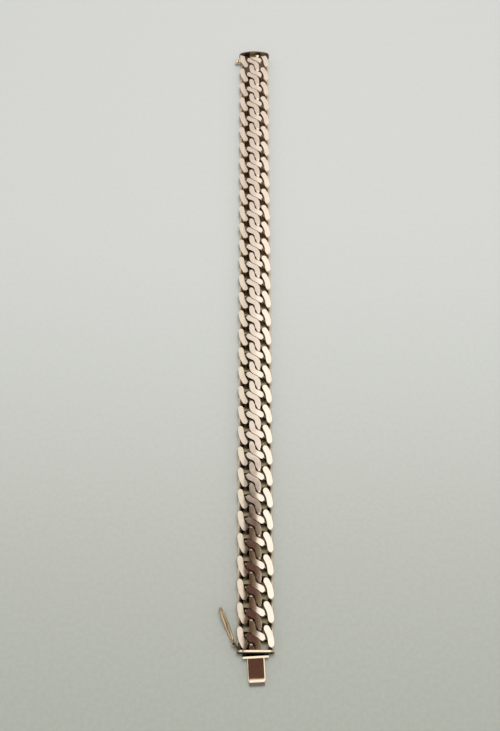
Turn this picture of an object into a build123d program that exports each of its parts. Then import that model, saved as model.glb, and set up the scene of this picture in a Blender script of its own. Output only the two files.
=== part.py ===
from build123d import *
import math
import os

# A flat double-row curb chain bracelet of the cuban kind, laid out straight with its clasp open.
# The chain runs along Y, with the box of the clasp at +Y and the spring tongue at -Y.
# Z is up and z = 0 is the surface that it lies on. Millimetres.

# Chain: the wire's gauge sets each link, and the length between the plates of the clasp sets how
# many there are
wire = 1.55
chain_length = 186.0
wire_sides = 5
loose_gap = 0.15

# Box end of the clasp
box_plate = 0.40
box_wall = 0.40
box_floor = 0.35
box_roof = 0.35
plate_corner = 1.40
plate_crown = 1.00
plate_overhang = 0.20

# Ball stud on the side of the box
ball_diameter = 1.40
ball_setback = 2.00
ball_standoff = 0.20
stud_diameter = 0.70

# Tongue end of the clasp
inner_plate = 0.55
outer_plate = 0.40
outer_plate_drop = 0.30
outer_plate_crown = 0.25
outer_plate_overhang = 0.05
tongue_length = 7.40
tongue_width = 4.35
tongue_skew = 3.0
leaf_width = 3.85
leaf_thickness = 0.40
leaf_gap = 0.50
leaf_rise = 0.30
nose_length = 1.70
catch_width = 6.60
catch_thickness = 0.55
catch_height = 0.35
slide_clearance = 0.15

# Safety latch, a figure of eight bent from wire, and its hinge
latch_length = 9.10
latch_height = 2.10
latch_wire = 0.65
latch_bow = 0.36
latch_angle = 22.3
latch_stations = 24
tip_diameter = 0.90
hinge_standoff = 0.73
hinge_setback = 1.40
pin_diameter = 0.60
hinge_play = 0.05
barrel_wall = 0.25
barrel_height = 0.90
ear_thickness = 0.40
ear_width = 0.80

# The middle line of a link's wire, going round from the limb that lies inside the chain, in wire
# thicknesses: across the chain, along it and up from its middle height. The link is an oval bent
# so that its upper right quarter and the whole outer limb ride high and the rest runs low.
link_form = [
    (1.61, -0.20, -0.13),
    (1.47, 1.04, 0.71),
    (1.19, 1.99, 0.96),
    (0.07, 2.67, 0.92),
    (-0.47, 3.13, 0.10),
    (-1.45, 2.82, -0.82),
    (-1.64, 0.81, -0.75),
    (-1.63, 0.09, 0.70),
    (-1.41, -1.21, 0.82),
    (-0.93, -2.19, 0.78),
    (-0.75, -2.45, -0.07),
    (-0.27, -2.63, -0.92),
    (0.79, -2.24, -0.97),
    (1.55, -1.13, -0.90),
]
link_points = [Vector(across, length, up) * wire for across, length, up in link_form]
link_reach = max(abs(point.Y) for point in link_points) + wire / 2
outer_reach = max(-point.X for point in link_points) + wire / 2

# How far apart the links of a row and the two rows stand, and how thick the filed chain is
pitch = 3.753 * wire
row_spacing = 1.839 * wire
chain_thickness = 1.936 * wire
mid_height = chain_thickness / 2
chain_width = row_spacing + 2 * outer_reach

# Sizes of the clasp that follow the tongue and the chain
leaf_bottom = box_floor + slide_clearance / 2
slot_width = catch_width + 2 * slide_clearance
slot_height = 2 * leaf_thickness + catch_height + 2 * slide_clearance
box_height = box_floor + slot_height + catch_height + box_roof
box_length = tongue_length + slide_clearance + box_wall
box_width = slot_width + 2 * box_wall
plate_width = chain_width + 2 * plate_overhang
end_width = chain_width + 2 * outer_plate_overhang
catch_gap = box_plate + slide_clearance / 2

# Places along the chain, measured back from the outer face of the box's end plate
first_left = 0.20 * pitch
first_right = first_left - pitch / 2
soldered_left = math.ceil((box_length + loose_gap + link_reach - first_left) / pitch)
soldered_right = math.ceil((box_length + loose_gap + link_reach - first_right) / pitch)
last_link = round(chain_length / pitch)
free_reach = chain_length - loose_gap - link_reach
cut_left = math.floor((free_reach - first_left) / pitch) + 1
cut_right = math.floor((free_reach - first_right) / pitch) + 1
tongue_root = chain_length + inner_plate + outer_plate
front = (tongue_root + tongue_length) / 2

# The latch leans out on the left, so the chain's middle line stands right of the origin
hinge_reach = chain_width / 2 + hinge_standoff
ball_reach = chain_width / 2 + ball_standoff + ball_diameter / 2
tip_reach = hinge_reach + latch_length * math.sin(math.radians(latch_angle)) + tip_diameter / 2
middle = (tip_reach - plate_width / 2) / 2


def along(distance):
    """Y of a point so far behind the outer face of the box's end plate."""
    return front - distance


# The latch's own directions: out along its length, and level across it
latch_out = Vector(-math.sin(math.radians(latch_angle)), math.cos(math.radians(latch_angle)), 0)
latch_across = latch_out.cross(Vector(0, 0, 1))
hinge = Vector(middle - hinge_reach, along(chain_length - hinge_setback), mid_height)
barrel_radius = pin_diameter / 2 + hinge_play + barrel_wall
loop_start = barrel_radius + latch_wire / 2 - 0.6 * barrel_wall


def latch_point(turn):
    """A point of the latch's wire, a figure of eight on edge whose two strands bow apart sideways
    so that they pass each other where they cross."""
    a = math.radians(turn)
    out = loop_start + (latch_length - loop_start) * (1 - math.cos(a)) / 2
    rise = Vector(0, 0, latch_height / 2 * math.sin(2 * a))
    return hinge + latch_out * out + latch_across * (latch_bow * math.sin(a)) + rise


def wire_loop(points, diameter, level):
    """A closed loop of wire in flat three-cornered facets, its sections square to the wire."""
    corners = [Vector(diameter / 2, 0, 0).rotate(Axis.Z, 360 * n / wire_sides) for n in range(wire_sides)]
    rings = []
    for before, point, after in zip(points[-1:] + points, points, points[1:] + points[:1]):
        tangent = after - before
        section = Plane(origin=point, x_dir=tangent.cross(level), z_dir=tangent)
        rings.append([section.from_local_coords(corner) for corner in corners])
    facets = []
    for here, there in zip(rings, rings[1:] + rings[:1]):
        for n in range(wire_sides):
            m = (n + 1) % wire_sides
            facets.append(Face(Wire.make_polygon([here[n], here[m], there[n]])))
            facets.append(Face(Wire.make_polygon([here[m], there[m], there[n]])))
    return Solid(Shell(facets))


def left_place(number):
    """Place of a link of the left row."""
    return Location((middle - row_spacing / 2, along(first_left + number * pitch), mid_height))


def right_place(number):
    """Place of a link of the right row, which is turned half round."""
    place = (middle + row_spacing / 2, along(first_right + number * pitch), mid_height)
    return Location(place, (0, 0, 180))


def cross_plane(distance):
    """An upright plane across the chain that faces -Y, its middle on the surface below."""
    return Plane(origin=(middle, along(distance), 0), x_dir=(1, 0, 0), z_dir=(0, -1, 0))


def end_outline(width, height, crown):
    """The outline of an end plate: flat where it rests, crowned on top and round at both ends."""
    shoulder = height - crown
    with BuildSketch() as outline:
        with BuildLine():
            foot = Line((-width / 2, 0), (width / 2, 0))
            right = Line(foot @ 1, (width / 2, shoulder))
            top = ThreePointArc(right @ 1, (0, height), (-width / 2, shoulder))
            Line(top @ 1, foot @ 0)
        make_face()
        fillet(outline.vertices(), radius=min(plate_corner, 0.45 * shoulder))
    return outline.sketch


# One link, its top and underside filed flat
with BuildPart() as link:
    add(wire_loop(link_points, wire, Vector(0, 0, 1)))
    split(bisect_by=Plane.XY.offset(chain_thickness / 2), keep=Keep.BOTTOM)
    split(bisect_by=Plane.XY.offset(-chain_thickness / 2), keep=Keep.TOP)

# The two rows of loose links, each link through the next of its row and through two of the other
with BuildPart() as left_row:
    with Locations(*[left_place(n) for n in range(soldered_left, cut_left)]):
        add(link.part)
with BuildPart() as right_row:
    with Locations(*[right_place(n) for n in range(soldered_right, cut_right)]):
        add(link.part)

# The box end: a hollow box under the first links, which are soldered over it, behind a slotted plate
with BuildPart() as box_end:
    with BuildSketch(cross_plane(box_plate / 2)):
        with Locations((0, box_height / 2)):
            Rectangle(box_width, box_height)
    extrude(amount=box_length - box_plate / 2)
    with BuildSketch(cross_plane(0)):
        add(end_outline(plate_width, chain_thickness + plate_crown, plate_crown))
    extrude(amount=box_plate)
    # ball stud that the safety latch snaps over
    ball_middle = (middle - ball_reach, along(ball_setback), mid_height)
    stem_start = math.sqrt(ball_diameter ** 2 - stud_diameter ** 2) / 2
    stem_end = ball_reach - box_width / 2 + box_wall / 2
    with BuildSketch(Plane(origin=ball_middle, x_dir=(1, 0, 0), z_dir=(0, 0, 1))):
        with BuildLine():
            stem = Polyline(
                (-ball_diameter / 2, 0),
                (stem_end, 0),
                (stem_end, stud_diameter / 2),
                (stem_start, stud_diameter / 2),
            )
            ThreePointArc(stem @ 1, (0, ball_diameter / 2), stem @ 0)
        make_face()
    revolve(axis=Axis(ball_middle, (1, 0, 0)))
    with Locations(*[left_place(n) for n in range(soldered_left)]):
        add(link.part)
    with Locations(*[right_place(n) for n in range(soldered_right)]):
        add(link.part)
    split(bisect_by=cross_plane(0), keep=Keep.TOP)
    # slot in the plate, and the roomier space behind it where the catch springs up
    with BuildSketch(cross_plane(0)):
        with Locations((0, box_floor + slot_height / 2)):
            Rectangle(slot_width, slot_height)
    extrude(amount=box_plate, mode=Mode.SUBTRACT)
    with BuildSketch(cross_plane(box_plate)):
        with Locations((0, (box_floor + box_height - box_roof) / 2)):
            Rectangle(slot_width, box_height - box_floor - box_roof)
    extrude(amount=box_length - box_wall - box_plate, mode=Mode.SUBTRACT)

# The tongue's direction, a little askew, and the plane of its side view
askew = math.radians(tongue_skew)
tongue_out = Vector(math.sin(askew), -math.cos(askew), 0)
tongue_side = Plane(
    origin=(middle, along(tongue_root), 0), x_dir=tongue_out, z_dir=tongue_out.cross(Vector(0, 0, 1))
)
lower_leaf = leaf_bottom + leaf_thickness / 2
upper_leaf = lower_leaf + leaf_thickness + leaf_gap
nose = tongue_length - leaf_thickness / 2
catch_middle = catch_gap + catch_thickness / 2
catch_top = upper_leaf + leaf_rise + leaf_thickness / 2 + catch_height

# The tongue end: the cut ends of the last links on a double plate, the folded spring and the lug
with BuildPart() as tongue_end:
    with Locations(*[left_place(n) for n in range(cut_left, last_link + 1)]):
        add(link.part)
    with Locations(*[right_place(n) for n in range(cut_right, last_link + 1)]):
        add(link.part)
    split(bisect_by=cross_plane(chain_length + inner_plate / 2), keep=Keep.BOTTOM)
    with BuildSketch(cross_plane(chain_length)):
        add(end_outline(end_width - 2 * outer_plate_drop, chain_thickness, outer_plate_crown / 2))
    extrude(amount=inner_plate)
    with BuildSketch(cross_plane(chain_length + inner_plate)):
        add(end_outline(end_width, chain_thickness - outer_plate_drop, outer_plate_crown))
    extrude(amount=outer_plate)
    # the spring: one strip folded back over itself at the nose
    with BuildSketch(tongue_side):
        with BuildLine():
            Polyline(
                (catch_gap, upper_leaf + leaf_rise),
                (nose - nose_length, upper_leaf),
                (nose - 0.4 * nose_length, upper_leaf - 0.3 * leaf_gap),
                (nose, lower_leaf + 0.55 * leaf_gap),
                (nose - 0.1 * nose_length, lower_leaf),
                (nose - 0.8 * nose_length, lower_leaf),
            )
        trace(line_width=leaf_thickness)
    extrude(amount=leaf_width / 2, both=True)
    with BuildSketch(tongue_side):
        with Locations(((nose - outer_plate - 0.5 * nose_length) / 2, lower_leaf)):
            Rectangle(nose - 0.5 * nose_length + outer_plate, leaf_thickness)
    extrude(amount=tongue_width / 2, both=True)
    root_end = catch_gap + catch_thickness
    with BuildSketch(tongue_side):
        with Locations(((root_end - outer_plate) / 2, lower_leaf)):
            Rectangle(root_end + outer_plate, leaf_thickness)
    extrude(amount=catch_width / 2, both=True)
    # the catch across the spring's free end
    with BuildSketch(tongue_side):
        with Locations((catch_middle, (upper_leaf + catch_top) / 2)):
            Rectangle(catch_thickness, catch_top - upper_leaf)
    extrude(amount=catch_width / 2, both=True)
    # the lug: two ears with the hinge pin between them
    ear_offset = barrel_height / 2 + hinge_play
    ear_root = (middle - 0.39 * chain_width, along(chain_length + inner_plate / 2))
    for ear_bottom in (mid_height + ear_offset, mid_height - ear_offset - ear_thickness):
        with BuildSketch(Plane.XY.offset(ear_bottom)):
            with Locations((hinge.X, hinge.Y), ear_root):
                Circle(ear_width / 2)
            make_hull()
        extrude(amount=ear_thickness)
    with BuildSketch(Plane.XY.offset(mid_height - ear_offset - ear_thickness / 2)):
        with Locations((hinge.X, hinge.Y)):
            Circle(pin_diameter / 2)
    extrude(amount=2 * ear_offset + ear_thickness)

# The safety latch: barrel, figure of eight and a bead at the tip to lift it by
with BuildPart() as safety_latch:
    latch_points = [latch_point(360 * station / latch_stations) for station in range(latch_stations)]
    add(wire_loop(latch_points, latch_wire, latch_across))
    with BuildSketch(Plane.XY.offset(mid_height - barrel_height / 2)):
        with Locations((hinge.X, hinge.Y)):
            Circle(barrel_radius)
            Circle(pin_diameter / 2 + hinge_play, mode=Mode.SUBTRACT)
    extrude(amount=barrel_height)
    with Locations(latch_point(180)):
        Sphere(tip_diameter / 2)

left_row.part.label = "left_row"
right_row.part.label = "right_row"
box_end.part.label = "box_end"
tongue_end.part.label = "tongue_end"
safety_latch.part.label = "safety_latch"

os.makedirs("parts", exist_ok=True)
export_step(left_row.part, "parts/left_row.step")
export_step(right_row.part, "parts/right_row.step")
export_step(box_end.part, "parts/box_end.step")
export_step(tongue_end.part, "parts/tongue_end.step")
export_step(safety_latch.part, "parts/safety_latch.step")
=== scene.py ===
import math

import bmesh
import bpy
from mathutils import Matrix, Vector


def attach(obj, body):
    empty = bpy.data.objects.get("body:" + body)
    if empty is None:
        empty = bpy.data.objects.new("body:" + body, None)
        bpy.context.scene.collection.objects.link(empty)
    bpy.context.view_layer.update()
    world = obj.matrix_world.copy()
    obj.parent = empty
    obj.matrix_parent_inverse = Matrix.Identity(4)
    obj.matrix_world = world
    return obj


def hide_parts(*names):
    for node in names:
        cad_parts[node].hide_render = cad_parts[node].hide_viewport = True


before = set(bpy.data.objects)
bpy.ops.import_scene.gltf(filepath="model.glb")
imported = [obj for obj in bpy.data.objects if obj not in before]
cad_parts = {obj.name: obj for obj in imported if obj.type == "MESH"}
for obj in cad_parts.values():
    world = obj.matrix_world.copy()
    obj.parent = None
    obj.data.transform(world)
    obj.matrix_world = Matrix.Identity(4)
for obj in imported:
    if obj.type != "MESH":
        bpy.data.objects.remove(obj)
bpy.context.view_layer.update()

# Looks of the bracelet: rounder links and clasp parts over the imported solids, polished gold,
# a pale floor, soft light and the camera. Sizes are in metres and the solids' own, apart from
# the ones said to be smaller.

MM = 0.001

# Chain
wire = 1.55 * MM
chain_length = 186.0 * MM
# the middle line of a link's wire in wire thicknesses: across the chain, along it and up
link_form = [
    (1.61, -0.20, -0.13),
    (1.47, 1.04, 0.71),
    (1.19, 1.99, 0.96),
    (0.07, 2.67, 0.92),
    (-0.47, 3.13, 0.10),
    (-1.45, 2.82, -0.82),
    (-1.64, 0.81, -0.75),
    (-1.63, 0.09, 0.70),
    (-1.41, -1.21, 0.82),
    (-0.93, -2.19, 0.78),
    (-0.75, -2.45, -0.07),
    (-0.27, -2.63, -0.92),
    (0.79, -2.24, -0.97),
    (1.55, -1.13, -0.90),
]
pitch = 3.753 * wire
row_spacing = 1.839 * wire
chain_thickness = 1.936 * wire
mid_height = chain_thickness / 2
chain_width = row_spacing + (2 * 1.64 + 1) * wire
# how far the links' filed faces lie inside the solids' own, and how close corners on them merge
facet_depth = 0.18 * MM
facet_merge = 0.03 * MM
# how the polished faces lean outwards towards the chain's edges, per square of the way out
chain_dome = 0.012 / MM

# Clasp
box_plate = 0.40 * MM
box_wall = 0.40 * MM
box_floor = 0.35 * MM
box_roof = 0.35 * MM
plate_corner = 1.40 * MM
plate_crown = 1.00 * MM
plate_width = chain_width + 0.40 * MM
slide_clearance = 0.15 * MM
ball_diameter = 1.40 * MM
ball_setback = 2.00 * MM
stud_diameter = 0.70 * MM
ball_reach = chain_width / 2 + 0.90 * MM
inner_plate = 0.55 * MM
outer_plate = 0.40 * MM
outer_plate_drop = 0.30 * MM
outer_plate_crown = 0.25 * MM
end_width = chain_width + 0.10 * MM
tongue_length = 7.40 * MM
tongue_width = 4.35 * MM
tongue_skew = math.radians(3.0)
leaf_width = 3.85 * MM
leaf_thickness = 0.40 * MM
leaf_gap = 0.50 * MM
leaf_rise = 0.30 * MM
nose_length = 1.70 * MM
catch_width = 6.60 * MM
catch_thickness = 0.55 * MM
catch_height = 0.35 * MM
leaf_bottom = box_floor + slide_clearance / 2
slot_width = catch_width + 2 * slide_clearance
slot_height = 2 * leaf_thickness + catch_height + 2 * slide_clearance
box_height = box_floor + slot_height + catch_height + box_roof
box_length = tongue_length + slide_clearance + box_wall
box_width = slot_width + 2 * box_wall
catch_gap = box_plate + slide_clearance / 2

# Safety latch; its wire, its pin and the ears of its lug are slimmer than the solids', so that
# the rounder shapes stay clear of each other at the end of the swing
latch_length = 9.10 * MM
latch_height = 2.10 * MM
latch_wire = 0.62 * MM
latch_bow = 0.36 * MM
latch_angle = math.radians(22.3)
latch_sink = 0.15 * MM
tip_diameter = 0.90 * MM
hinge_reach = chain_width / 2 + 0.73 * MM
hinge_setback = 1.40 * MM
lug_reach = 0.39 * chain_width
pin_diameter = 0.56 * MM
barrel_radius = 0.60 * MM
barrel_bore = 0.35 * MM
barrel_height = 0.90 * MM
ear_thickness = 0.40 * MM
ear_width = 0.60 * MM
ear_gap = 0.05 * MM

# How far the edges of each piece are rounded
box_edge = 0.12 * MM
box_plate_edge = 0.07 * MM
inner_plate_edge = 0.10 * MM
outer_plate_edge = 0.12 * MM
leaf_edge = 0.06 * MM
base_edge = 0.05 * MM
catch_edge = 0.08 * MM
ear_edge = 0.06 * MM
pin_edge = 0.08 * MM
barrel_edge = 0.05 * MM

# Places along the chain
first_left = 0.20 * pitch
first_right = first_left - pitch / 2
last_link = round(chain_length / pitch)
tongue_root = chain_length + inner_plate + outer_plate
front = (tongue_root + tongue_length) / 2
tip_reach = hinge_reach + latch_length * math.sin(latch_angle) + tip_diameter / 2
middle = (tip_reach - plate_width / 2) / 2
left_loose = range(3, 31)
right_loose = range(3, 32)

# Polish: grains to a metre, and how deep the wobble and the scuffs go
cloud_grain = 420
scuff_grain = 5200
wobble_grain = 330
wobble_depth = 0.045 * MM
scuff_depth = 0.0016 * MM

# Camera: where it aims, from how far, and how large it sees the photo's height
view_angle = math.radians(70)
view_distance = 217.0 * MM
view_along = 110.47 * MM
view_left = 1.4 * MM
photo_height = 731
focal_pixels = 766
sensor = 24


def along(distance):
    """Y of a point so far behind the outer face of the box's end plate."""
    return front - distance


# Helpers for modelling

def deselect():
    if bpy.context.object and bpy.context.object.mode != "OBJECT":
        bpy.ops.object.mode_set(mode="OBJECT")
    bpy.ops.object.select_all(action="DESELECT")


def activate(piece):
    deselect()
    piece.select_set(True)
    bpy.context.view_layer.objects.active = piece


def edit(piece, select="DESELECT"):
    activate(piece)
    bpy.ops.object.mode_set(mode="EDIT")
    bpy.ops.mesh.select_all(action=select)


def pick(piece, test, kind):
    """In edit mode, select the faces or vertices for which test is true."""
    bpy.ops.mesh.select_mode(type=kind)
    mesh = bmesh.from_edit_mesh(piece.data)
    items = {"FACE": mesh.faces, "VERT": mesh.verts}[kind]
    for item in items:
        item.select_set(test(item))
    bmesh.update_edit_mesh(piece.data)


def use(piece, kind, **settings):
    """Put a modifier on a piece and apply it."""
    activate(piece)
    modifier = piece.modifiers.new(kind.title(), kind)
    for name, value in settings.items():
        setattr(modifier, name, value)
    bpy.ops.object.modifier_apply(modifier=modifier.name)


def soften(piece, width, angle=35):
    use(piece, "BEVEL", width=width, segments=3, limit_method="ANGLE", angle_limit=math.radians(angle))


def cut(piece, cutter):
    use(piece, "BOOLEAN", operation="DIFFERENCE", object=cutter, solver="EXACT", use_self=True)
    bpy.data.objects.remove(cutter)


def join(name, pieces):
    activate(pieces[0])
    for piece in pieces[1:]:
        piece.select_set(True)
    bpy.ops.object.join()
    whole = bpy.context.object
    whole.name = name
    whole.data.name = name
    return whole


def wire_loop(stations, gauge, steps, sides):
    """A closed loop of round wire through its stations: a circle curve with a point set at each,
    its handles left to smooth themselves, given a round bevel."""
    deselect()
    bpy.ops.curve.primitive_bezier_circle_add(radius=1)
    loop = bpy.context.object
    spline = loop.data.splines[0]
    spline.bezier_points.add(len(stations) - len(spline.bezier_points))
    for knot, place in zip(spline.bezier_points, stations):
        knot.co = place
        knot.handle_left_type = "AUTO"
        knot.handle_right_type = "AUTO"
    spline.use_cyclic_u = True
    loop.data.resolution_u = steps
    loop.data.bevel_depth = gauge / 2
    loop.data.bevel_resolution = (sides - 4) // 2
    bpy.ops.object.convert(target="MESH")
    return bpy.context.object


def drawn(outline, place, depth):
    """A solid from an outline of (across, up) points in the plane of place, extruded along its
    third axis: a filled circle whose corners are set out along the outline."""
    deselect()
    bpy.ops.mesh.primitive_circle_add(vertices=len(outline), radius=1, fill_type="NGON")
    piece = bpy.context.object
    for corner, (across, up) in zip(piece.data.vertices, outline):
        corner.co = place @ Vector((across, up, 0))
    edit(piece, "SELECT")
    way = place.to_3x3() @ Vector((0, 0, depth))
    bpy.ops.mesh.extrude_region_move(TRANSFORM_OT_translate={"value": way})
    bpy.ops.mesh.select_all(action="SELECT")
    bpy.ops.mesh.normals_make_consistent(inside=False)
    bpy.ops.object.mode_set(mode="OBJECT")
    return piece


def block(x, y, z):
    """A cube primitive stretched between two limits on each axis."""
    deselect()
    centre = ((x[0] + x[1]) / 2, (y[0] + y[1]) / 2, (z[0] + z[1]) / 2)
    size = (x[1] - x[0], y[1] - y[0], z[1] - z[0])
    bpy.ops.mesh.primitive_cube_add(size=1, location=centre, scale=size)
    bpy.ops.object.transform_apply()
    return bpy.context.object


def facing(origin, across, up):
    """The place of a drawing plane from its origin and its two axes."""
    across, up = Vector(across), Vector(up)
    out = across.cross(up)
    return Matrix.Translation(origin) @ Matrix((across, up, out)).transposed().to_4x4()


def round_outline(width, height, crown, steps=8):
    """An end plate seen from its end: flat below, crowned above in one arc, its corners round."""
    corner = min(plate_corner, 0.45 * (height - crown))
    half = width / 2
    radius = (half ** 2 + crown ** 2) / (2 * crown)
    centre = height - radius
    reach = math.sqrt((radius - corner) ** 2 - (half - corner) ** 2)
    lean = math.atan2(reach, half - corner)
    bends = [
        (half - corner, corner, corner, -math.pi / 2, 0),
        (half - corner, centre + reach, corner, 0, lean),
        (0, centre, radius, lean, math.pi / 2),
    ]
    right = []
    for x, z, bend, start, end in bends:
        for step in range(steps + 1):
            a = start + (end - start) * step / steps
            point = (x + bend * math.cos(a), z + bend * math.sin(a))
            if not right or math.dist(point, right[-1]) > 1e-7:
                right.append(point)
    return right + [(-x, z) for x, z in reversed(right[:-1])]


# Shader maths

class Value:
    """A number in a node tree; arithmetic on it adds Math nodes."""

    def __init__(self, paint, socket):
        self.paint = paint
        self.socket = socket

    def _math(self, operation, *inputs):
        node = self.paint.tree.nodes.new("ShaderNodeMath")
        node.operation = operation
        for slot, value in zip(node.inputs, inputs):
            self.paint.feed(slot, value)
        return Value(self.paint, node.outputs[0])

    def __add__(self, other):
        return self._math("ADD", self, other)

    def __sub__(self, other):
        return self._math("SUBTRACT", self, other)

    def __rsub__(self, other):
        return self._math("SUBTRACT", other, self)

    def __mul__(self, other):
        return self._math("MULTIPLY", self, other)

    def __truediv__(self, other):
        return self._math("DIVIDE", self, other)

    __radd__ = __add__
    __rmul__ = __mul__

    def clamped(self, low, high):
        return self._math("MAXIMUM", self._math("MINIMUM", self, high), low)

    def ramp(self, start, end):
        """0 before start, 1 past end, and smooth between."""
        share = ((self - start) / (end - start)).clamped(0, 1)
        return share * share * (3 - 2 * share)


class Paint:
    """A node tree that is filled in by plain calls."""

    def __init__(self, tree):
        self.tree = tree
        tree.nodes.clear()

    def feed(self, slot, value):
        if isinstance(value, Value):
            self.tree.links.new(value.socket, slot)
        elif isinstance(value, bpy.types.NodeSocket):
            self.tree.links.new(value, slot)
        else:
            slot.default_value = value

    def node(self, kind, **inputs):
        node = self.tree.nodes.new(kind)
        for name, value in inputs.items():
            self.feed(node.inputs[name.replace("_", " ")], value)
        return node

    def mix(self, factor, first, second):
        node = self.tree.nodes.new("ShaderNodeMix")
        node.data_type = "RGBA"
        self.feed(node.inputs[0], factor)
        self.feed(node.inputs[6], first)
        self.feed(node.inputs[7], second)
        return node.outputs[2]

    def place(self):
        return self.node("ShaderNodeTexCoord").outputs["Object"]

    def noise(self, scale, detail, rough=0.5):
        node = self.node("ShaderNodeTexNoise", Scale=scale, Detail=detail, Roughness=rough)
        self.feed(node.inputs["Vector"], self.place())
        return Value(self, node.outputs["Fac"])

    def axes(self, place=None):
        split = self.node("ShaderNodeSeparateXYZ")
        self.feed(split.inputs[0], place or self.place())
        return [Value(self, split.outputs[axis]) for axis in "XYZ"]


def rgba(colour, strength=1):
    return (*[strength * part for part in colour], 1)


def new_paint(name):
    material = bpy.data.materials.new(name)
    material.use_nodes = True
    return material, Paint(material.node_tree)


def polished_gold(name, tone, shade_tone, roughness, wear, shade_heights=(0.05, 0.6), crest=0, dome=chain_dome):
    """Polished gold: a slow wobble left by hand polishing, fine scuffs, and painted shade low on the wire
    between the links: a darker colour with a duller finish where polish doesn't reach, the painted shade
    painted lighter towards the box end as painted light. The painted shade ends between the two shade
    heights, which are shares of the chain's thickness. The faces lean away from the crest, a line along
    the chain so far right of its middle."""
    material, paint = new_paint(name)
    cloud = paint.noise(cloud_grain, 3)
    scuff = paint.noise(scuff_grain, 4, 0.65)
    wobble = paint.noise(wobble_grain, 1)
    across, lengthwise, up = paint.axes()
    out = (across - middle) / (chain_width / 2)
    low, high = shade_heights
    # painted shade goes on the wire below the given heights, but not at the chain's outer edges
    shade_below = 1 - up.ramp(low * chain_thickness, high * chain_thickness)
    painted_shade = shade_below * (1 - (out * out).ramp(0.72, 0.92))
    polish = paint.mix(cloud.ramp(0.35, 0.75), rgba(tone), rgba(tone, 0.93))
    # the painted shade is painted lighter towards the box end, as painted light
    lit_to_box_end = lengthwise.ramp(along(0.8 * chain_length), along(0.2 * chain_length))
    shade_colour = paint.mix(lit_to_box_end, rgba(shade_tone), rgba(shade_tone, 4.5))
    colour = paint.mix(0.94 * painted_shade, polish, shade_colour)
    rough = roughness + 0.25 * painted_shade + wear * (scuff - 0.5).clamped(0, 1) + 0.02 * cloud
    domed = (across - middle - crest) * (middle + crest - across) * dome
    lean = paint.node("ShaderNodeBump", Strength=1.0, Distance=1.0, Height=domed)
    slow = paint.node("ShaderNodeBump", Strength=0.5, Distance=wobble_depth, Height=wobble,
                      Normal=lean.outputs[0])
    fine = paint.node("ShaderNodeBump", Strength=0.35, Distance=scuff_depth, Height=scuff,
                      Normal=slow.outputs[0])
    shader = paint.node("ShaderNodeBsdfPrincipled", Base_Color=colour, Metallic=1.0,
                        Roughness=rough, Normal=fine.outputs[0])
    paint.node("ShaderNodeOutputMaterial", Surface=shader.outputs[0])
    return material


# In the first two pairs: a gold's own colour, then its painted shade for the lower parts. In the third, both
# are painted shade: the plates' dark tone and their near-black painted shade.
bright, link_shade = (0.94, 0.80, 0.66), (0.085, 0.055, 0.03)
brass, clasp_shade = (0.92, 0.77, 0.56), (0.12, 0.08, 0.045)
shaded_gold, plate_deep_shade = (0.17, 0.13, 0.08), (0.014, 0.010, 0.006)
# heights below which the painted shade goes, as shares of the chain's thickness
link_shade_heights = (0.72, 0.91)
bottom_shade_heights = (0.0, 0.05)
gold_left = polished_gold("gold_left", bright, link_shade, 0.07, 0.12, link_shade_heights, crest=1.6 * MM)
gold_right = polished_gold("gold_right", bright, link_shade, 0.07, 0.12, link_shade_heights)
# painted shade: the box shell lies below the given heights everywhere, so it is painted near black all over,
# as the shade under the links
gold_box_shaded = polished_gold("gold_box_shaded", bright, (0.016, 0.011, 0.007), 0.10, 0.12, (0.90, 1.0))
# painted shade: the plates are painted a dark gold, and near black below their tops
gold_plate_shaded = polished_gold("gold_plate_shaded", shaded_gold, plate_deep_shade, 0.20, 0.12, (0.9, 1.3))
gold_clasp = polished_gold("gold_clasp", brass, clasp_shade, 0.09, 0.12, bottom_shade_heights,
                           crest=-10 * MM, dome=0.004 / MM)
gold_leaf = polished_gold("gold_leaf", brass, clasp_shade, 0.05, 0.08, bottom_shade_heights,
                          crest=25 * MM, dome=0.001 / MM)
# painted shade: the lug is painted a dark gold, with more painted shade low down
gold_lug_shaded = polished_gold("gold_lug_shaded", (0.18, 0.13, 0.08), clasp_shade, 0.15, 0.20)
gold_latch = polished_gold("gold_latch", (0.58, 0.44, 0.28), clasp_shade, 0.15, 0.20)


def settle(piece, name, material, body, *nodes, flat=False):
    """Name a finished piece, shade it, paint it, say what it rides on and hide the imported parts that it
    stands for. A flat piece keeps its broad faces flat up to their rounded edges."""
    piece.name = name
    piece.data.name = name
    piece.data.materials.clear()
    piece.data.materials.append(material)
    activate(piece)
    bpy.ops.object.shade_smooth_by_angle(angle=math.radians(32))
    if flat:
        use(piece, "WEIGHTED_NORMAL", keep_sharp=True)
    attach(piece, body)
    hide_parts(*nodes)


# The links

def make_link():
    """One link, bent from round wire and filed flat above and below."""
    link = wire_loop([Vector(station) * wire for station in link_form], wire, steps=6, sides=24)
    level = mid_height - facet_depth
    for side in (1, -1):
        edit(link, "SELECT")
        bpy.ops.mesh.bisect(plane_co=(0, 0, side * level), plane_no=(0, 0, side),
                            use_fill=True, clear_outer=True)
        pick(link, lambda corner: abs(corner.co.z - side * level) < 1e-7, "VERT")
        bpy.ops.mesh.remove_doubles(threshold=facet_merge)
    deselect()
    return link


def left_place(number):
    return Matrix.Translation((middle - row_spacing / 2, along(first_left + number * pitch), mid_height))


def right_place(number):
    shift = Matrix.Translation((middle + row_spacing / 2, along(first_right + number * pitch), mid_height))
    return shift @ Matrix.Rotation(math.pi, 4, "Z")


def links(name, places):
    """Copies of the link at their places, each a mesh of its own, joined into one piece."""
    copies = []
    for place in places:
        copy = model.copy()
        copy.data = model.data.copy()
        bpy.context.collection.objects.link(copy)
        copy.data.transform(place)
        copies.append(copy)
    return join(name, copies)


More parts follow.
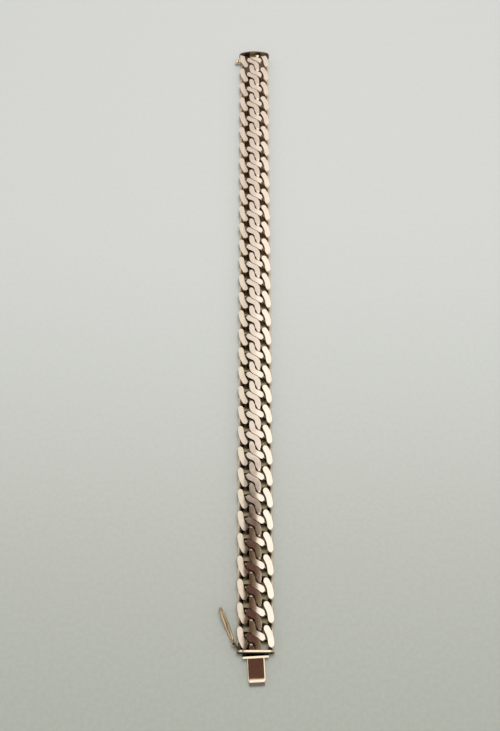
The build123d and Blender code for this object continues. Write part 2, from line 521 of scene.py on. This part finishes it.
def soldered_links(name, places, end, way):
    """The links of one row that are soldered to the clasp, cut off inside its plate."""
    piece = links(name, places)
    edit(piece, "SELECT")
    bpy.ops.mesh.bisect(plane_co=(0, along(end), 0), plane_no=(0, way, 0), use_fill=True, clear_outer=True)
    return piece


model = make_link()
settle(links("left_links", [left_place(n) for n in left_loose]),
       "left_links", gold_left, "bracelet", "left_row")
settle(links("right_links", [right_place(n) for n in right_loose]),
       "right_links", gold_right, "bracelet", "right_row")

# The box end

half_slot = slot_width / 2
# how far a cutting block reaches past the face that it opens
overshoot = 1.0 * MM


def hollow():
    """The inside of the clasp's box, open at its end plate."""
    return block((middle - half_slot, middle + half_slot), (along(box_length - box_wall), along(-overshoot)),
                 (box_floor, box_height - box_roof))


def end_plate(width, height, crown, behind, thickness):
    """A plate across the end of the chain, its inner or outer face so far behind the box's."""
    place = facing((middle, along(behind), 0), (-1, 0, 0), (0, 0, 1))
    return drawn(round_outline(width, height, crown), place, thickness)


box_rows = (
    ("box_links_left", left_place, left_loose, gold_left),
    ("box_links_right", right_place, right_loose, gold_right),
)
for name, place, loose, gold in box_rows:
    soldered = soldered_links(name, [place(n) for n in range(loose.start)], box_plate / 2, 1)
    cut(soldered, hollow())
    settle(soldered, name, gold, "bracelet", "box_end")

box_half = box_width / 2
box_shell = block((middle - box_half, middle + box_half), (along(box_length), along(box_plate / 2)),
                  (0, box_height))
soften(box_shell, box_edge)
cut(box_shell, hollow())
settle(box_shell, "box_shell", gold_box_shaded, "bracelet", "box_end", flat=True)

box_face = end_plate(plate_width, chain_thickness + plate_crown, plate_crown, box_plate, box_plate)
slot = block((middle - half_slot, middle + half_slot), (along(box_plate + overshoot), along(-overshoot)),
             (box_floor, box_floor + slot_height))
cut(box_face, slot)
soften(box_face, box_plate_edge)
settle(box_face, "box_plate", gold_plate_shaded, "bracelet", "box_end", flat=True)
# painted shade: every face but the outer one, the side that faces the links included, keeps the dark
# plate gold, so the outer side is brighter than the side that faces the links
box_face.data.materials.append(gold_clasp)
for face in box_face.data.polygons:
    face.material_index = int(face.normal.y > 0.5)

deselect()
ball_place = Vector((middle - ball_reach, along(ball_setback), mid_height))
bpy.ops.mesh.primitive_uv_sphere_add(segments=32, ring_count=24, radius=ball_diameter / 2,
                                     location=ball_place, rotation=(0, math.pi / 2, 0))
ball = bpy.context.object
bpy.ops.object.transform_apply()
edit(ball)
pole = math.sqrt(ball_diameter ** 2 - stud_diameter ** 2) / 2
pick(ball, lambda face: (face.calc_center_median() - ball_place).x > pole, "FACE")
bpy.ops.mesh.extrude_region_move(
    TRANSFORM_OT_translate={"value": (ball_reach - box_half + box_wall / 2 - pole, 0, 0)})
deselect()
settle(ball, "ball_stud", gold_clasp, "bracelet", "box_end")

# The tongue end

tongue_rows = (
    ("tongue_links_left", left_place, left_loose, gold_left),
    ("tongue_links_right", right_place, right_loose, gold_right),
)
for name, place, loose, gold in tongue_rows:
    ends = range(loose.stop, last_link + 1)
    soldered = soldered_links(name, [place(n) for n in ends], chain_length + inner_plate / 2, -1)
    settle(soldered, name, gold, "bracelet", "tongue_end")
bpy.data.objects.remove(model)

inner = end_plate(end_width - 2 * outer_plate_drop, chain_thickness, outer_plate_crown / 2,
                  chain_length + inner_plate, inner_plate)
soften(inner, inner_plate_edge)
outer = end_plate(end_width, chain_thickness - outer_plate_drop, outer_plate_crown, tongue_root, outer_plate)
soften(outer, outer_plate_edge)
settle(inner, "inner_plate", gold_clasp, "bracelet", "tongue_end", flat=True)

tongue_out = Vector((math.sin(tongue_skew), -math.cos(tongue_skew), 0))
tongue_across = tongue_out.cross(Vector((0, 0, 1)))
tongue_start = Vector((middle, along(tongue_root), 0))
lower_leaf = leaf_bottom + leaf_thickness / 2
upper_leaf = lower_leaf + leaf_thickness + leaf_gap
nose = tongue_length - leaf_thickness / 2
catch_middle = catch_gap + catch_thickness / 2
catch_top = upper_leaf + leaf_rise + leaf_thickness / 2 + catch_height
root_start = -outer_plate / 2
root_end = catch_gap + catch_thickness


def strip_outline(run, thickness):
    """The side view of a strip of even thickness along a run of points."""
    points = [Vector(point) for point in run]
    over, shade_below = [], []
    for index, point in enumerate(points):
        before = (point - points[index - 1]).normalized() if index else None
        after = (points[index + 1] - point).normalized() if index + 1 < len(points) else None
        way = ((before or after) + (after or before)).normalized()
        normal = Vector((-way.y, way.x))
        stretch = 1 / max(0.5, way.dot(after or before))
        over.append(point + normal * (stretch * thickness / 2))
        shade_below.append(point - normal * (stretch * thickness / 2))
    return [tuple(point) for point in over + shade_below[::-1]]


def strip(run, thickness, width, edge, angle=35):
    """A strip across the tongue's middle; its run gives the way out along the tongue and up."""
    place = facing(tongue_start + tongue_across * (-width / 2), tongue_out, (0, 0, 1))
    piece = drawn(strip_outline(run, thickness), place, width)
    soften(piece, edge, angle)
    return piece


# from the catch out to the nose and back under it
fold = [
    (catch_gap, upper_leaf + leaf_rise),
    (nose - nose_length, upper_leaf),
    (nose - 0.4 * nose_length, upper_leaf - 0.3 * leaf_gap),
    (nose, lower_leaf + 0.55 * leaf_gap),
    (nose - 0.1 * nose_length, lower_leaf),
    (nose - 0.8 * nose_length, lower_leaf),
]
upper = strip(fold, leaf_thickness, leaf_width, leaf_edge, angle=25)
lower = strip([(root_start, lower_leaf), (nose - 0.5 * nose_length, lower_leaf)],
              leaf_thickness, tongue_width, base_edge)
root = strip([(root_start, lower_leaf), (root_end, lower_leaf)], leaf_thickness, catch_width, base_edge)
catch = strip([(catch_middle, upper_leaf), (catch_middle, catch_top)],
              catch_thickness, catch_width, catch_edge)
settle(upper, "spring_tongue", gold_leaf, "bracelet", "tongue_end", flat=True)
settle(join("tongue_base", [lower, catch]), "tongue_base", gold_clasp, "bracelet", "tongue_end", flat=True)
# the outer plate and the tongue's root are painted dark, as painted shade
settle(join("outer_plate", [outer, root]), "outer_plate", gold_plate_shaded, "bracelet", "tongue_end", flat=True)

# The lug and the safety latch

hinge = Vector((middle - hinge_reach, along(chain_length - hinge_setback), mid_height))
lug_root = Vector((middle - lug_reach, along(chain_length + inner_plate / 2), mid_height))
lug_way = math.atan2(lug_root.y - hinge.y, lug_root.x - hinge.x)
arc_steps = 12


def ear(low):
    """A flat ear round at both ends, from the hinge to the plate."""
    outline = []
    for centre, start in ((lug_root, lug_way - math.pi / 2), (hinge, lug_way + math.pi / 2)):
        for step in range(arc_steps + 1):
            a = start + math.pi * step / arc_steps
            outline.append((centre.x + ear_width / 2 * math.cos(a), centre.y + ear_width / 2 * math.sin(a)))
    piece = drawn(outline, Matrix.Translation((0, 0, low)), ear_thickness)
    soften(piece, ear_edge)
    return piece


ear_offset = barrel_height / 2 + ear_gap
ears = [ear(mid_height + ear_offset), ear(mid_height - ear_offset - ear_thickness)]
deselect()
bpy.ops.mesh.primitive_cylinder_add(vertices=32, radius=pin_diameter / 2,
                                    depth=2 * (ear_offset + ear_thickness), location=hinge)
pin = bpy.context.object
bpy.ops.object.transform_apply()
soften(pin, pin_edge)
settle(join("hinge_lug", [*ears, pin]), "hinge_lug", gold_lug_shaded, "bracelet", "tongue_end", flat=True)

latch_out = Vector((-math.sin(latch_angle), math.cos(latch_angle), 0))
latch_across = latch_out.cross(Vector((0, 0, 1)))
loop_start = barrel_radius + latch_wire / 2 - latch_sink


def latch_point(a):
    """The latch's wire: a figure of eight on edge whose strands pass each other where they cross."""
    out = loop_start + (latch_length - loop_start) * (1 - math.cos(a)) / 2
    point = hinge + latch_out * out + latch_across * (latch_bow * math.sin(a))
    return point + Vector((0, 0, latch_height / 2 * math.sin(2 * a)))


figure = wire_loop([latch_point(math.radians(15 * n)) for n in range(24)], latch_wire, steps=4, sides=16)
deselect()
bpy.ops.mesh.primitive_cylinder_add(vertices=40, radius=barrel_radius, depth=barrel_height, location=hinge,
                                    end_fill_type="NOTHING")
barrel = bpy.context.object
bpy.ops.object.transform_apply()
use(barrel, "SOLIDIFY", thickness=barrel_radius - barrel_bore, offset=-1)
soften(barrel, barrel_edge)
deselect()
bpy.ops.mesh.primitive_uv_sphere_add(segments=28, ring_count=20, radius=tip_diameter / 2,
                                     location=latch_point(math.pi))
bead = bpy.context.object
bpy.ops.object.transform_apply()
settle(join("latch_wire", [figure, barrel, bead]), "latch_wire", gold_latch, "safety_latch", "safety_latch")

# The floor, painted darker in front as painted shade and lighter behind as painted light, with a warm
# tint under the chain that is painted shade and painted light thrown by the gold

floor_shaded_front, floor_lit_back = (0.226, 0.238, 0.204), (0.363, 0.370, 0.356)
floor_speck = (0.5, 0.5, 0.5)
gold_bounce_and_shade = (0.25, 0.21, 0.11)

deselect()
bpy.ops.mesh.primitive_plane_add(size=3)
floor = bpy.context.object
floor.name = "floor"
floor_paint, paint = new_paint("pale_floor")
speck = paint.noise(900, 3)
across, lengthwise, _ = paint.axes()
# painted light: the floor's colour is darker in front and lighter behind
tint = paint.mix(lengthwise.ramp(-150 * MM, 40 * MM), rgba(floor_shaded_front), rgba(floor_lit_back))
tint = paint.mix(0.06 * speck.ramp(0.3, 0.7), tint, rgba(floor_speck))
# painted shade and painted reflected gold light: a warm, darker colour on the floor under the chain
half = chain_width / 2
shade_below = 1 - ((across - middle) * (across - middle)).ramp((0.7 * half) ** 2, (1.05 * half) ** 2)
shade_below = shade_below * lengthwise.ramp(along(chain_length), along(chain_length - 2 * MM))
shade_below = shade_below * (1 - lengthwise.ramp(along(8 * MM), along(5 * MM)))
tint = paint.mix(0.9 * shade_below, tint, rgba(gold_bounce_and_shade))
shader = paint.node("ShaderNodeBsdfPrincipled", Base_Color=tint, Roughness=0.75)
shader.inputs["Specular IOR Level"].default_value = 0.3
paint.node("ShaderNodeOutputMaterial", Surface=shader.outputs[0])
floor.data.materials.append(floor_paint)

# The sky: pale, with the dark shapes of a room that the polished faces mirror. Directions are
# given by how far they lean from upright, to the side and to the back.

sky_left, sky_right = (0.90, 0.90, 0.86), (1.20, 1.20, 1.20)
sky_back = (0.80, 0.765, 0.765)
horizon = (0.55, 0.55, 0.51)
front_shade = (0.17, 0.16, 0.18)
patch_left, patch_right = (0.11, 0.056, 0.048), (0.20, 0.165, 0.11)

world = bpy.context.scene.world or bpy.data.worlds.new("studio")
bpy.context.scene.world = world
world.use_nodes = True
paint = Paint(world.node_tree)
sideways, forward, upward = paint.axes(paint.node("ShaderNodeTexCoord").outputs["Generated"])
level = upward.clamped(0.02, 1)
side_lean = sideways / level
front_lean = forward / level
patch = side_lean.ramp(-0.28, -0.24) * (1 - side_lean.ramp(0.0, 0.06))
patch = patch * (1 - 0.75 * front_lean.ramp(0.13, 0.28)) * (1 - front_lean.ramp(0.6, 1.3))
patch = patch * front_lean.ramp(-0.29, -0.20)
near = paint.mix(side_lean.ramp(-0.3, -0.1), rgba(sky_left), rgba(sky_right))
high = paint.mix(front_lean.ramp(0.3, 1.1), near, rgba(sky_back))
dome = paint.mix(upward.ramp(0.0, 0.6), rgba(horizon), high)
low_strip = front_lean.ramp(-4.0, -3.2) * (1 - front_lean.ramp(-2.3, -2.0))
dome = paint.mix(low_strip, dome, rgba(front_shade))
shade = paint.mix(side_lean.ramp(-0.06, -0.02), rgba(patch_left), rgba(patch_right))
sky = paint.mix(patch, dome, shade)
background = paint.node("ShaderNodeBackground", Color=sky, Strength=1.0)
paint.node("ShaderNodeOutputWorld", Surface=background.outputs[0])

# A soft light overhead, turned to the chain

lamp_place = Vector((0.04, 0.09, 0.6))
lamp_aim = Vector((0.01, 0.02, 0))
deselect()
bpy.ops.object.light_add(type="AREA", location=lamp_place)
lamp = bpy.context.object
lamp.name = "overhead"
lamp.data.shape = "RECTANGLE"
lamp.data.size = 0.25
lamp.data.size_y = 0.25
lamp.data.energy = 3.6
lamp.data.color = (1.0, 0.99, 0.98)
lamp.visible_camera = False
lamp.visible_glossy = False
lamp.rotation_euler = (lamp_aim - lamp_place).to_track_quat("-Z", "Y").to_euler()

# The camera

target = Vector((middle - view_left, along(view_along), chain_thickness))
bpy.ops.object.camera_add(rotation=(math.pi / 2 - view_angle, 0, 0))
camera = bpy.context.object
camera.location = target + view_distance * Vector((0, -math.cos(view_angle), math.sin(view_angle)))
camera.data.sensor_fit = "VERTICAL"
camera.data.sensor_height = sensor
camera.data.lens = sensor * focal_pixels / photo_height
camera.data.clip_start = 0.01
bpy.context.scene.camera = camera
bpy.context.scene.view_settings.view_transform = "Standard"
